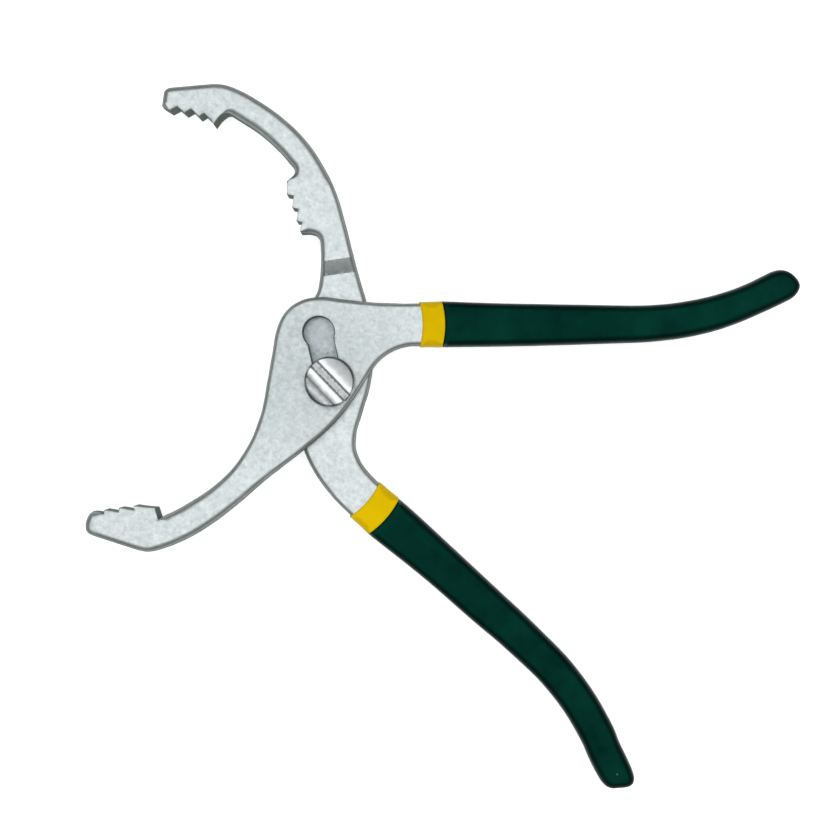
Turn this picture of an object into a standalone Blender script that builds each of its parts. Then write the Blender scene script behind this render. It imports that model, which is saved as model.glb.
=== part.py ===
"""Slip-joint oil filter wrench, 12 inch class, modelled wide open.

Frame: metres. The pliers lie flat in the XY plane and +Z runs up the pivot axis towards the
bolt's head. The origin is on that axis, at the flat end of the bolt, the lowest point.
The front arm (lower jaw, right-hand handle) is on top. The rear arm is beneath it.
Lengths below are in millimetres and are turned into metres where geometry is made.
"""
import math

import bmesh
import bpy
from mathutils import Euler, Vector

MM = 0.001

# Levels along the pivot axis
BOLT_END = 0.0
NUT_LOW, NUT_HIGH = 0.8, 5.5
STEEL_LOW, STEEL_HIGH = 5.8, 15.8        # both jaws, full thickness
REAR_LAP_TOP, FRONT_LAP_LOW = 10.7, 10.9  # the two halves of the lap joint
WASHER_LOW, WASHER_HIGH = 16.0, 16.8
HEAD_LOW, HEAD_HIGH = 17.0, 20.4
HANDLE_THICK = 7.0                        # bar inside and just ahead of the grips

# Pivot and slip slot
SHANK_R = 5.65
SHANK_FLAT = 4.5                          # half the distance across the two flats
SLOT_R = 5.77                             # the two round lobes
SLOT_HALF = 4.7                           # half the width of the channel between them
SLIP = 18.6                               # distance between the lobes
SLOT_ANGLE = 103.0                        # direction from the lower lobe to the upper one
KEY_GAP = 0.15
THREAD_R = 4.0
THREAD_TOP = STEEL_LOW + 0.5              # the thread overlaps the shank, which overlaps the head
SHANK_TOP = HEAD_LOW + 0.5
THREAD_CHAMFER = 0.5
NUT_BORE_R = 4.3
NUT_FLATS = 13.0
NUT_FACE_R = 5.1                          # chamfer's radius at CLEAR outside the nut's faces
NUT_CORNER_DROP = 0.95                    # chamfer's fall at CLEAR outside the nut's corners
HEAD_R = 9.1
HEAD_DOME = [(0.0, 0.0), (3.6, 0.15), (6.4, 0.6), (8.2, 1.3), (HEAD_R, 2.2)]   # radius, fall
HEAD_UNDER_CHAMFER = 0.3
WIDE_OF_HEAD = 12.0                       # half length of the cutter for the driver slot
HEAD_SLOT_WIDE, HEAD_SLOT_DEEP = 3.1, 1.5
HEAD_SLOT_ANGLE = -46.0
WASHER_R, WASHER_BORE_R, WASHER_CHAMFER = 8.6, 5.95, 0.15

# Coated handles
GAP = 0.3                                 # between pieces that touch
COAT = 0.8                                # wall of the vinyl sleeves
INSET = GAP + COAT                        # sleeve's outside to tang
EDGE = 1.3                                # rounding of the forged edges
COAT_EDGE = 2.0                           # rounding of the sleeves
COLLAR_RIM = 1.1                          # how far the middle of a sleeve's rim bows along the handle
BAR_INSET = 0.35                          # uncut bar's edge inside the sleeve's, trimmed to the tang later
BAR_END, BAR_END_HALF = 8.0, 4.5          # uncut bar's square end: past the last station, half width
TANG_END = 7.0                            # how far the tang reaches past the last station
TANG_ROOT = 12.0                          # how far the tang's outline runs back into the bare bar
TANG_EDGE = 1.0
SPACE_START, SPACE_HALF, SPACE_END = 14.0, 22.0, 40.0   # reach of what is cut away round a tang
HOLLOW_ROOT = 14.0                        # how far a sleeve's hollow runs back past its rim

SMOOTH, CORNER = "AUTO", "VECTOR"
STEPS = 6                                 # straight pieces for each curved stretch of an outline
FLAT_ARC_STEPS, LOBE_STEPS = 8, 24        # straight pieces of the shank's and of the slot's arcs
TURN_STEPS, BORE_STEPS = 48, 32           # sides of turned pieces and of the nut's bore
WELD = 0.01                               # points closer than this are one


def smooth(*points):
    return [(x, y, SMOOTH) for x, y in points]


def corners(*points):
    return [(x, y, CORNER) for x, y in points]


# Front arm: hub, lower jaw and the start of the handle, seen from +Z
FRONT_HUB = smooth((22.0, 28.6), (12.9, 29.1), (4.2, 30.0), (-5.0, 30.8), (-11.7, 29.1), (-16.5, 25.2),
                   (-19.4, 19.1), (-20.9, 11.1), (-22.5, 2.1), (-25.9, -14.0), (-32.0, -26.5),
                   (-39.3, -35.2), (-52.9, -44.9))
FRONT_JAW = (corners((-62.4, -49.8), (-64.2, -44.0), (-72.0, -43.0), (-85.0, -43.5))
             + smooth((-88.9, -50.2), (-89.2, -52.4), (-88.9, -54.4))
             + corners((-87.4, -55.7), (-70.4, -61.2))
             + smooth((-66.5, -61.9), (-61.7, -60.8), (-54.2, -57.9), (-45.0, -52.7), (-34.4, -44.7),
                      (-23.6, -35.4), (-9.3, -24.3), (0.7, -15.5), (6.5, -8.5), (12.3, 0.2),
                      (17.5, 7.6), (21.9, 10.9), (27.4, 13.0)))
FRONT_TEETH_FIRST, FRONT_TEETH_LAST, FRONT_TEETH = (-71.2, -44.9), (-82.0, -46.4), 3
FRONT_TOOTH_DEEP = 1.7
TOOTH_LEAN = 0.1                          # how far a tooth's steep side leans back
FRONT_SAW_HEEL = [(-62.0, -42.0), (-63.0, -45.8), (-68.0, -45.4)]
FRONT_NOSE = [(-84.6, -47.3), (-86.6, -47.1), (-88.2, -48.5), (-89.5, -51.0)]
FRONT_SAW_OUTSIDE = [(-95.0, -51.0), (-95.0, -38.0), (-62.0, -38.0)]

# Rear arm: upper jaw, lap and the start of the handle
REAR_TIP_BACK = corners((-60.6, 105.8), (-59.3, 107.2), (-42.4, 108.7))
REAR_JAW_BACK = smooth((-38.8, 108.4), (-35.2, 107.3), (-25.5, 102.1), (-15.6, 94.8), (-9.0, 88.1),
                       (-3.0, 79.3), (1.6, 69.9), (4.9, 59.2), (8.1, 46.5), (10.5, 37.4),
                       (12.7, 29.8), (15.2, 14.0), (14.4, 0.2), (11.4, -10.7), (8.9, -20.0),
                       (9.7, -27.1))
REAR_NECK_LEFT = smooth((-1.2, -40.0), (-8.1, -29.1), (-12.0, -18.0), (-15.8, -4.0), (-15.8, 12.0),
                        (-10.0, 25.5), (-5.1, 32.9), (-3.9, 39.0), (-3.5, 49.0), (-4.4, 53.2))
REAR_PAD = corners((-7.4, 54.4), (-13.4, 54.4), (-17.2, 71.0), (-15.8, 72.6))
REAR_JAW_INSIDE = smooth((-12.8, 76.9), (-15.1, 80.4), (-20.2, 86.0), (-27.0, 91.8), (-32.1, 95.1),
                         (-35.3, 97.1), (-37.4, 98.2), (-39.2, 97.4), (-40.8, 95.8))
REAR_TIP = corners((-43.6, 91.5), (-50.0, 94.4), (-61.4, 100.4))
TIP_TEETH = [(-40.0, 88.0), (-42.9, 95.0), (-45.8, 97.7), (-47.7, 96.5), (-50.5, 99.3), (-52.9, 97.9),
             (-55.6, 100.2), (-58.2, 98.8), (-62.0, 91.0)]
PAD_TEETH = [(-15.7, 73.6), (-15.7, 68.1), (-13.2, 67.7), (-13.7, 63.3), (-11.5, 62.8), (-12.2, 58.5),
             (-10.0, 58.0), (-10.8, 56.2), (-10.8, 50.0), (-24.0, 50.0), (-24.0, 73.6)]

# Steps between the thick jaws and the laps. A turned step faces along a line that is RAMP_TURN or
# UNDER_TURN degrees on from +Y, and its foot and top are distances from the pivot axis
RAMP_FOOT, RAMP_TOP, RAMP_TURN = 38.9, 43.8, 8.0
UNDER_FOOT, UNDER_TOP, UNDER_TURN = -28.0, -31.0, 40.0
UNDER_END, UNDER_BELOW = 150.0, -1.3      # far end and lowest level of what is cut under the rear arm
FRONT_STEP = [(-29.5, -16.0), (-16.0, -33.0), (-80.0, -100.0), (-120.0, -20.0)]
FRONT_LAP_FROM = -60.0                    # where the front lap's cutter starts, inside the jaw's keep
FRONT_FALL, FRONT_FALLEN = 24.0, 27.0     # where the lap's underside slopes down to the handle's
REACH = 200.0                             # half length of the steps' cutters
CLEAR = 1.0                               # how far a cutter passes a face that it must clear
BELOW = -5.0                              # a height well below the steel's underside
BEYOND = 10.0                             # how far a cutter runs past the steel's top
THROUGH = (0.0, 25.0)                     # heights of a cutter that goes right through

# Handles: x, y and half width of the sleeve at each station
FRONT_HANDLE = [(32.1, 21.0, 8.0), (40.8, 21.1, 8.3), (60.0, 20.9, 7.8), (80.0, 20.95, 7.4),
                (100.0, 21.1, 6.9), (119.0, 21.6, 6.5), (134.2, 23.8, 6.3), (146.0, 27.1, 6.0),
                (154.2, 30.4, 5.8)]
REAR_HANDLE = [(12.0, -42.8, 8.1), (19.4, -49.3, 8.6), (39.2, -66.3, 7.6), (56.5, -81.9, 7.2),
               (69.9, -93.9, 6.8), (86.0, -110.5, 6.5), (98.0, -129.5, 6.3), (100.5, -135.5, 6.2)]

# Round ends of the grips, from left to right: distance along and across from the last station
FRONT_END = [(7.0, 6.3), (10.4, 6.5), (13.4, 5.9), (15.7, 4.2), (17.2, 1.4), (17.6, -1.6),
             (16.5, -3.3), (13.9, -4.8), (10.0, -5.3)]
REAR_END = [(7.4, 6.6), (11.2, 6.6), (14.2, 6.0), (15.6, 4.4), (15.5, 2.2), (14.6, -0.6),
            (13.5, -3.4), (11.2, -4.9), (7.7, -5.6)]


def clear_scene():
    for item in list(bpy.data.objects):
        bpy.data.objects.remove(item, do_unlink=True)


def make_collection(name):
    group = bpy.data.collections.new(name)
    bpy.context.scene.collection.children.link(group)
    return group


def make_material(name, colour, roughness, metallic):
    material = bpy.data.materials.new(name)
    material.use_nodes = True
    shader = material.node_tree.nodes["Principled BSDF"]
    shader.inputs["Base Color"].default_value = (*colour, 1.0)
    shader.inputs["Roughness"].default_value = roughness
    shader.inputs["Metallic"].default_value = metallic
    material.diffuse_color = (*colour, 1.0)
    return material


def new_object(name, mesh, group):
    item = bpy.data.objects.new(name, mesh)
    group.objects.link(item)
    return item


def prism(name, outline, low, high, group, steps=STEPS):
    """A flat outline, curved where its points are smooth, filled and raised from low to high."""
    curve = bpy.data.curves.new(name, "CURVE")
    curve.dimensions = "2D"
    curve.fill_mode = "BOTH"
    curve.resolution_u = steps
    curve.extrude = (high - low) / 2 * MM
    spline = curve.splines.new("BEZIER")
    spline.bezier_points.add(len(outline) - 1)
    spline.use_cyclic_u = True
    for point, (x, y, kind) in zip(spline.bezier_points, outline):
        point.co = (x * MM, y * MM, 0.0)
        point.handle_left_type = kind
        point.handle_right_type = kind
    drawn = new_object(name + "_curve", curve, group)
    drawn.location.z = (low + high) / 2 * MM
    bpy.context.view_layer.update()
    shape = drawn.evaluated_get(bpy.context.evaluated_depsgraph_get())
    mesh = bpy.data.meshes.new_from_object(shape)
    mesh.transform(drawn.matrix_world)
    bpy.data.objects.remove(drawn, do_unlink=True)
    work = bmesh.new()
    work.from_mesh(mesh)
    bmesh.ops.remove_doubles(work, verts=work.verts, dist=WELD * MM)
    bmesh.ops.dissolve_limit(work, angle_limit=math.radians(0.5), verts=work.verts, edges=work.edges)
    bmesh.ops.recalc_face_normals(work, faces=work.faces)
    work.to_mesh(mesh)
    work.free()
    mesh.name = name
    return new_object(name, mesh, group)


def turned(name, profile, group, steps=TURN_STEPS):
    """A profile of (radius, height) points, turned about the pivot axis with a Screw.

    It runs from axis to axis, or closes on itself to make a ring.
    """
    mesh = bpy.data.meshes.new(name)
    verts = [(radius * MM, 0.0, height * MM) for radius, height in profile]
    edges = [(i, i + 1) for i in range(len(verts) - 1)]
    if profile[0][0] > 0.0:
        edges.append((len(verts) - 1, 0))
    mesh.from_pydata(verts, edges, [])
    item = new_object(name, mesh, group)
    screw = item.modifiers.new("Turn", "SCREW")
    screw.steps = screw.render_steps = steps
    screw.use_merge_vertices = True
    screw.merge_threshold = WELD * MM
    apply_modifiers(item)
    work = bmesh.new()
    work.from_mesh(item.data)
    bmesh.ops.remove_doubles(work, verts=work.verts, dist=WELD * MM)
    bmesh.ops.recalc_face_normals(work, faces=work.faces)
    work.to_mesh(item.data)
    work.free()
    return item


def apply_modifiers(item):
    """Replace an object's mesh by its evaluated mesh and drop the modifiers."""
    bpy.context.view_layer.update()
    shape = item.evaluated_get(bpy.context.evaluated_depsgraph_get())
    mesh = bpy.data.meshes.new_from_object(shape)
    item.modifiers.clear()
    item.data = mesh


def combine(item, other, operation, solver="EXACT"):
    """Cut other from item, join it to item or keep only what they share, then drop other."""
    change = item.modifiers.new(other.name, "BOOLEAN")
    change.operation = operation
    change.solver = solver
    change.object = other
    other.hide_render = True
    other.display_type = "WIRE"
    apply_modifiers(item)
    bpy.data.objects.remove(other, do_unlink=True)


def cut(arm, cutter):
    """The arms' long flat faces need the MANIFOLD solver: EXACT leaves slivers open in them."""
    combine(arm, cutter, "DIFFERENCE", "MANIFOLD")


def round_edges(item, width, segments=2, angle=40.0):
    """Bevel every edge sharper than the given angle."""
    bevel = item.modifiers.new("Rounding", "BEVEL")
    bevel.width = width * MM
    bevel.segments = segments
    bevel.limit_method = "ANGLE"
    bevel.angle_limit = math.radians(angle)
    bevel.use_clamp_overlap = True
    apply_modifiers(item)


def polar(radius, degrees):
    angle = math.radians(degrees)
    return radius * math.cos(angle), radius * math.sin(angle)


def double_d(radius, flat):
    """A circle cut by two flats that run along the slip slot."""
    half = math.degrees(math.asin(flat / radius))
    sweep = [half * (2 * i / FLAT_ARC_STEPS - 1) for i in range(FLAT_ARC_STEPS + 1)]
    points = []
    for side in (0.0, 180.0):
        points += [polar(radius, SLOT_ANGLE + side + angle) for angle in sweep]
    return corners(*points)


def slip_slot():
    """Two round lobes joined by a narrower channel."""
    half = math.degrees(math.asin(SLOT_HALF / SLOT_R))
    sweep = [half + (360.0 - 2 * half) * i / LOBE_STEPS for i in range(LOBE_STEPS + 1)]
    lower = [polar(SLOT_R, SLOT_ANGLE + angle) for angle in sweep]
    top = polar(SLIP, SLOT_ANGLE)
    upper = [polar(SLOT_R, SLOT_ANGLE + 180.0 + angle) for angle in sweep]
    return corners(*lower, *[(top[0] + x, top[1] + y) for x, y in upper])


def station_frame(stations, index):
    """Place and direction of one station of a handle."""
    before = stations[max(index - 1, 0)]
    after = stations[min(index + 1, len(stations) - 1)]
    along = Vector((after[0] - before[0], after[1] - before[1])).normalized()
    return Vector(stations[index][:2]), along, Vector((-along.y, along.x))


def placed(stations, index, along, across):
    """A point measured along and across a handle from one of its stations."""
    place, ahead, side = station_frame(stations, index)
    point = place + ahead * along + side * across
    return point.x, point.y


def ribbon(stations, inset):
    """The left and right edges of a strip along the stations, moved in by inset."""
    halves = [half - inset for _, _, half in stations]
    left = [placed(stations, i, 0.0, half) for i, half in enumerate(halves)]
    right = [placed(stations, i, 0.0, -half) for i, half in enumerate(halves)]
    return left, right


def rim(stations, index, shift):
    """The bowed middle of a sleeve's rim."""
    return smooth(placed(stations, index, COLLAR_RIM + shift, 0.0))


def rim_ends(stations, index, shift, spare=0.0):
    """The left and right ends of a line across a handle at one of its stations, moved by shift."""
    half = stations[index][2] + spare
    return placed(stations, index, shift, half), placed(stations, index, shift, -half)


def collar_outline(stations):
    start_left, start_right = rim_ends(stations, 0, GAP)
    end_left, end_right = rim_ends(stations, 1, -GAP)
    return (corners(start_left) + corners(end_left) + rim(stations, 1, -GAP)
            + corners(end_right) + corners(start_right) + rim(stations, 0, GAP))


def grip_outline(stations, end):
    left, right = ribbon(stations, 0.0)
    last = len(stations) - 1
    cap = [placed(stations, last, along, across) for along, across in end]
    return (corners(left[1]) + smooth(*left[2:]) + smooth(*cap)
            + smooth(*reversed(right[2:])) + corners(right[1]) + rim(stations, 1, 0.0))


def bar_outline(stations):
    """The left and right edges of an uncut handle and its square end, from left to right."""
    left, right = ribbon(stations, BAR_INSET)
    last = len(stations) - 1
    end = [placed(stations, last, BAR_END, half) for half in (BAR_END_HALF, -BAR_END_HALF)]
    return left, right, end


def tang_outline(stations, inset, root, reach):
    """The bar inside a sleeve, from root mm before the first station to reach mm past the last."""
    left, right = ribbon(stations, inset)
    last = len(stations) - 1
    half = stations[last][2] - inset
    first = [placed(stations, 0, -root, side * (stations[0][2] - inset)) for side in (1, -1)]
    end = [placed(stations, last, reach - half, half), placed(stations, last, reach, 0.0),
           placed(stations, last, reach - half, -half)]
    return (corners(first[0]) + smooth(*left, *end) + smooth(*reversed(right)) + corners(first[1]))


def box_cutter(name, low, high, group):
    mesh = bpy.data.meshes.new(name)
    work = bmesh.new()
    bmesh.ops.create_cube(work, size=1.0)
    for vert in work.verts:
        for axis in range(3):
            middle = (low[axis] + high[axis]) / 2
            vert.co[axis] = (middle + vert.co[axis] * (high[axis] - low[axis])) * MM
    work.to_mesh(mesh)
    work.free()
    return new_object(name, mesh, group)


def side_cutter(name, profile, turn_z, group):
    """A profile in (distance from the pivot axis, height), extruded sideways: cuts steps and ramps."""
    cutter = prism(name, corners(*profile), -REACH, REACH, group)
    cutter.data.transform(Euler((math.radians(90.0), 0.0, math.radians(turn_z))).to_matrix().to_4x4())
    return cutter


def sleeve_space(name, stations, middle, group):
    """What a coated handle loses to its sleeve: all of the bar outside the tang."""
    half = HANDLE_THICK / 2
    last = len(stations) - 1
    start_left, start_right = rim_ends(stations, 0, 0.0, SPACE_START)
    edge_left, edge_right = rim_ends(stations, 0, 0.0)
    outline = corners(start_left)
    outline += corners(*[placed(stations, i, 0.0, SPACE_HALF) for i in range(1, last + 1)])
    outline += corners(placed(stations, last, SPACE_END, SPACE_HALF))
    outline += corners(placed(stations, last, SPACE_END, -SPACE_HALF))
    outline += corners(*[placed(stations, i, 0.0, -SPACE_HALF) for i in range(last, 0, -1)])
    outline += corners(start_right, edge_right) + rim(stations, 0, 0.0) + corners(edge_left)
    space = prism(name, outline, middle - 2 * half, middle + 2 * half, group)
    tang = prism(name + "_tang", tang_outline(stations, INSET, TANG_ROOT, TANG_END),
                 middle - half + COAT, middle + half - COAT, group)
    round_edges(tang, TANG_EDGE, segments=1)
    combine(space, tang, "DIFFERENCE")
    return space


def saw(first, last, count, deep):
    """Ratchet teeth from first to last tip; each drops straight down and rises to the next."""
    step = Vector((last[0] - first[0], last[1] - first[1])) / (count - 1)
    points = []
    for i in range(count):
        tip = Vector(first) + step * i
        points += [(tip.x, tip.y), (tip.x - TOOTH_LEAN, tip.y - deep)]
    return points


def front_arm(parts, cutters):
    """Upper plate of the lap joint with the lower jaw, the slip slot and the right-hand handle."""
    left, right, end = bar_outline(FRONT_HANDLE)
    outline = FRONT_HUB + FRONT_JAW + smooth(*right) + corners(*reversed(end)) + smooth(*reversed(left))
    arm = prism("front_arm", outline, STEEL_LOW, STEEL_HIGH, parts)
    handle_low = STEEL_HIGH - HANDLE_THICK
    lap_profile = [(FRONT_LAP_FROM, BELOW), (FRONT_LAP_FROM, FRONT_LAP_LOW), (FRONT_FALL, FRONT_LAP_LOW),
                   (FRONT_FALLEN, handle_low), (REACH, handle_low), (REACH, BELOW)]
    lap = side_cutter("front_lap", lap_profile, 0.0, cutters)
    keep = prism("front_jaw_keep", corners(*FRONT_STEP), 0.0, FRONT_LAP_LOW + CLEAR, cutters)
    combine(lap, keep, "DIFFERENCE")
    cut(arm, lap)
    round_edges(arm, EDGE)
    tips = saw(FRONT_TEETH_FIRST, FRONT_TEETH_LAST, FRONT_TEETH, FRONT_TOOTH_DEEP)
    teeth = corners(*FRONT_SAW_HEEL, *tips) + smooth(*FRONT_NOSE) + corners(*FRONT_SAW_OUTSIDE)
    cut(arm, prism("front_saw", teeth, *THROUGH, cutters))
    cut(arm, prism("slip_slot", slip_slot(), *THROUGH, cutters))
    cut(arm, sleeve_space("front_sleeve_space", FRONT_HANDLE, STEEL_HIGH - HANDLE_THICK / 2, cutters))
    return arm


def rear_arm(parts, cutters):
    """Lower plate of the lap joint with the upper jaw, keyed to the bolt, and the lower handle."""
    left, right, end = bar_outline(REAR_HANDLE)
    outline = (REAR_TIP_BACK + REAR_JAW_BACK + smooth(*left) + corners(*end) + smooth(*reversed(right))
               + REAR_NECK_LEFT + REAR_PAD + REAR_JAW_INSIDE + REAR_TIP)
    handle_low = REAR_LAP_TOP - HANDLE_THICK
    arm = prism("rear_arm", outline, handle_low, STEEL_HIGH, parts)
    slope = (RAMP_TOP - RAMP_FOOT) / (STEEL_HIGH - REAR_LAP_TOP)
    above = STEEL_HIGH + BEYOND
    ramp = [(-REACH, REAR_LAP_TOP), (RAMP_FOOT, REAR_LAP_TOP), (RAMP_TOP + BEYOND * slope, above),
            (-REACH, above)]
    cut(arm, side_cutter("rear_ramp", ramp, 90.0 + RAMP_TURN, cutters))
    under = [(UNDER_FOOT, UNDER_BELOW), (UNDER_TOP, STEEL_LOW),
             (UNDER_END, STEEL_LOW), (UNDER_END, UNDER_BELOW)]
    cut(arm, side_cutter("rear_under", under, 90.0 + UNDER_TURN, cutters))
    round_edges(arm, EDGE)
    cut(arm, prism("tip_saw", corners(*TIP_TEETH), *THROUGH, cutters))
    cut(arm, prism("pad_saw", corners(*PAD_TEETH), *THROUGH, cutters))
    cut(arm, prism("key_hole", double_d(SHANK_R + KEY_GAP, SHANK_FLAT + KEY_GAP), *THROUGH, cutters))
    cut(arm, sleeve_space("rear_sleeve_space", REAR_HANDLE, REAR_LAP_TOP - HANDLE_THICK / 2, cutters))
    return arm


def coat(name, outline, stations, middle, parts, cutters):
    """One vinyl sleeve: rounded outside, and a hollow that clears the tang."""
    half = HANDLE_THICK / 2 - COAT + INSET
    sleeve = prism(name, outline, middle - half, middle + half, parts)
    round_edges(sleeve, COAT_EDGE, segments=3, angle=60.0)
    hollow = prism(name + "_hollow", tang_outline(stations, COAT, HOLLOW_ROOT, TANG_END + GAP),
                   middle - half + COAT, middle + half - COAT, cutters)
    combine(sleeve, hollow, "DIFFERENCE")
    return sleeve


def pivot_bolt(parts, cutters):
    """Slotted domed head, double-D shank and a plain stand-in for the thread."""
    dome = [(radius, HEAD_HIGH - fall) for radius, fall in HEAD_DOME]
    bolt = turned("pivot_bolt", dome + [(HEAD_R, HEAD_LOW + HEAD_UNDER_CHAMFER),
                                        (HEAD_R - HEAD_UNDER_CHAMFER, HEAD_LOW), (0.0, HEAD_LOW)], parts)
    half = HEAD_SLOT_WIDE / 2
    groove = box_cutter("head_slot", (-WIDE_OF_HEAD, -half, HEAD_HIGH - HEAD_SLOT_DEEP),
                        (WIDE_OF_HEAD, half, HEAD_HIGH + CLEAR), cutters)
    groove.rotation_euler.z = math.radians(HEAD_SLOT_ANGLE)
    combine(bolt, groove, "DIFFERENCE")
    shank = prism("shank", double_d(SHANK_R, SHANK_FLAT), STEEL_LOW, SHANK_TOP, cutters)
    combine(bolt, shank, "UNION")
    thread = turned("thread", [(0.0, THREAD_TOP), (THREAD_R, THREAD_TOP),
                               (THREAD_R, BOLT_END + THREAD_CHAMFER),
                               (THREAD_R - THREAD_CHAMFER, BOLT_END), (0.0, BOLT_END)], cutters)
    combine(bolt, thread, "UNION")
    return bolt


def pivot_nut(parts, cutters):
    """Hexagon nut with both faces chamfered."""
    corner_r = NUT_FLATS / math.cos(math.radians(30.0)) / 2
    hexagon = [polar(corner_r, SLOT_ANGLE + 60.0 * i) for i in range(6)]
    nut = prism("pivot_nut", corners(*hexagon), NUT_LOW, NUT_HIGH, parts)
    over, under, wide = NUT_HIGH + CLEAR, NUT_LOW - CLEAR, corner_r + CLEAR
    chamfer = turned("nut_chamfer", [(0.0, over), (NUT_FACE_R, over), (wide, NUT_HIGH - NUT_CORNER_DROP),
                                     (wide, NUT_LOW + NUT_CORNER_DROP), (NUT_FACE_R, under), (0.0, under)],
                     cutters)
    combine(nut, chamfer, "INTERSECT")
    bore = turned("nut_bore", [(0.0, over), (NUT_BORE_R, over), (NUT_BORE_R, under), (0.0, under)],
                  cutters, steps=BORE_STEPS)
    combine(nut, bore, "DIFFERENCE")
    return nut


def slide_washer(parts):
    """Flat washer that bridges the slip slot beneath the bolt's head."""
    return turned("slide_washer", [(WASHER_BORE_R, WASHER_HIGH), (WASHER_R - WASHER_CHAMFER, WASHER_HIGH),
                                   (WASHER_R, WASHER_HIGH - WASHER_CHAMFER), (WASHER_R, WASHER_LOW),
                                   (WASHER_BORE_R, WASHER_LOW)], parts)


def finish(item, material, holder):
    """Give a piece its material, smooth shading with sharp edges kept, and its parent."""
    mesh = item.data
    mesh.materials.clear()
    mesh.materials.append(material)
    mesh.shade_smooth()
    mesh.set_sharp_from_angle(angle=math.radians(35.0))
    item.parent = holder


def build():
    clear_scene()
    parts = make_collection("oil_filter_wrench")
    cutters = make_collection("cutters")
    forged = make_material("forged_steel", (0.62, 0.65, 0.66), 0.38, 1.0)
    bright = make_material("bright_steel", (0.80, 0.82, 0.83), 0.18, 1.0)
    zinc = make_material("zinc_steel", (0.66, 0.68, 0.69), 0.32, 1.0)
    yellow = make_material("yellow_vinyl", (0.74, 0.46, 0.004), 0.42, 0.0)
    green = make_material("green_vinyl", (0.003, 0.028, 0.018), 0.36, 0.0)

    holders = {name: new_object(name, None, parts) for name in ("front_frame", "slip_frame", "rear_frame")}
    front_middle = STEEL_HIGH - HANDLE_THICK / 2
    rear_middle = REAR_LAP_TOP - HANDLE_THICK / 2
    finish(front_arm(parts, cutters), forged, holders["front_frame"])
    finish(coat("front_collar", collar_outline(FRONT_HANDLE), FRONT_HANDLE, front_middle, parts, cutters),
           yellow, holders["front_frame"])
    finish(coat("front_grip", grip_outline(FRONT_HANDLE, FRONT_END), FRONT_HANDLE, front_middle, parts,
                cutters), green, holders["front_frame"])
    finish(slide_washer(parts), zinc, holders["slip_frame"])
    finish(rear_arm(parts, cutters), forged, holders["rear_frame"])
    finish(coat("rear_collar", collar_outline(REAR_HANDLE), REAR_HANDLE, rear_middle, parts, cutters),
           yellow, holders["rear_frame"])
    finish(coat("rear_grip", grip_outline(REAR_HANDLE, REAR_END), REAR_HANDLE, rear_middle, parts,
                cutters), green, holders["rear_frame"])
    finish(pivot_bolt(parts, cutters), bright, holders["rear_frame"])
    finish(pivot_nut(parts, cutters), zinc, holders["rear_frame"])


build()
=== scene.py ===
"""Looks of the oil filter wrench: forged arms, dipped vinyl handles, slotted bolt, on a pale floor.

Lengths are in millimetres and are turned into metres where geometry is made.
"""
import math

import bmesh
import bpy
import numpy as np
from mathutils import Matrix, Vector, geometry, noise
from mathutils.bvhtree import BVHTree
from mathutils.kdtree import KDTree


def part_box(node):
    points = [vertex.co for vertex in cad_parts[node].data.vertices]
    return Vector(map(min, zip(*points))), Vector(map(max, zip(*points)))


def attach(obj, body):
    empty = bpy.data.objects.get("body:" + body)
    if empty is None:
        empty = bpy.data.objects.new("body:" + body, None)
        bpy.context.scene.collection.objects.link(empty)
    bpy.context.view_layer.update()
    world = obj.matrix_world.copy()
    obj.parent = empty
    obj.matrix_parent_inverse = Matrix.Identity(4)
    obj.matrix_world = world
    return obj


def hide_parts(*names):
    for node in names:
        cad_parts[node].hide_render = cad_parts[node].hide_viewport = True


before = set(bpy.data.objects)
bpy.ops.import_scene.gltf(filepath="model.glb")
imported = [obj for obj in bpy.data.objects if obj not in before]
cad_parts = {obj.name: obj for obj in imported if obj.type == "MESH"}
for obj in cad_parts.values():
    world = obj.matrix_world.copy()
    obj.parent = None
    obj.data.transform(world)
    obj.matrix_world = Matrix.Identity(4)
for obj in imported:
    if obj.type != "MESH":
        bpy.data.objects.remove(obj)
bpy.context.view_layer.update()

MM = 0.001
TINY = 1e-9              # keeps a division from being by nothing

# Outlines
OUTLINE_STEP = 0.45      # spacing of points along an outline
CORNER_TURN = 24.0       # degrees: a sharper turn of an outline stays a corner
SPIKE_TURN = 150.0       # degrees: a sharper turn is a sliver of the slicing
JOINED = 0.002           # a CAD mesh's points closer than this are one
NEARLY = 0.1             # a sliced outline's points closer than this are one
SMOOTHINGS = 5           # rounds of averaging that take an outline's facets away
BATCH = 2000             # points tested against an outline at a time

# Plates
FLAT_STEP = 0.9          # spacing of points on a flat
PARTING = 0.5            # the parting line's height, as a share of the wall
WALL_LEVELS = (0.12, 0.3, 0.42, 0.47, PARTING, 0.53, 0.58, 0.7, 0.88)
BENDS = (20.0, 38.0, 55.0, 72.0, 90.0)   # degrees turned through, at each ring of a rounded edge
NARROW_EDGE = 0.4        # a rounding below this has only the last ring
RING_ROOM = 0.9          # a ring's points are dropped where another outline is nearer than this share
TOUCHING = 0.03          # or where they nearly touch it
GRID_ROOM = 0.35         # grid points keep this share of a step from a rounding,
LINE_ROOM = 0.25         # a step's lines this far from an outline,
GRID_TO_LINE = 0.4       # the grid this far from a step's lines
RING_TO_LINE = 0.2       # and the rings this far
ENCLOSED = 1             # the triangulation's output: what the outlines enclose, holes and all
MERGED = 1e-5            # the triangulation joins points closer than this
EDGE_SHARE = 0.96        # the most of half the thickness that a rounding takes
SOFT_OVER = 0.5          # walls swell in full where the rounding is this much over a punched edge's
SHADE_SHARE = 0.85        # the share of a rounding that gets painted shade
SHADE_FADE = 0.35         # and how softly the painted shade ends
WAVE_PACE, FINE_PACE = 0.28, 0.75    # features per mm of the flats' slow and finer waves
FINE_SHARE = 0.5         # height of the finer waves as a share of the slow ones
WAVE_EASE = 0.8          # the waves die out this close to an outline
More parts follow.
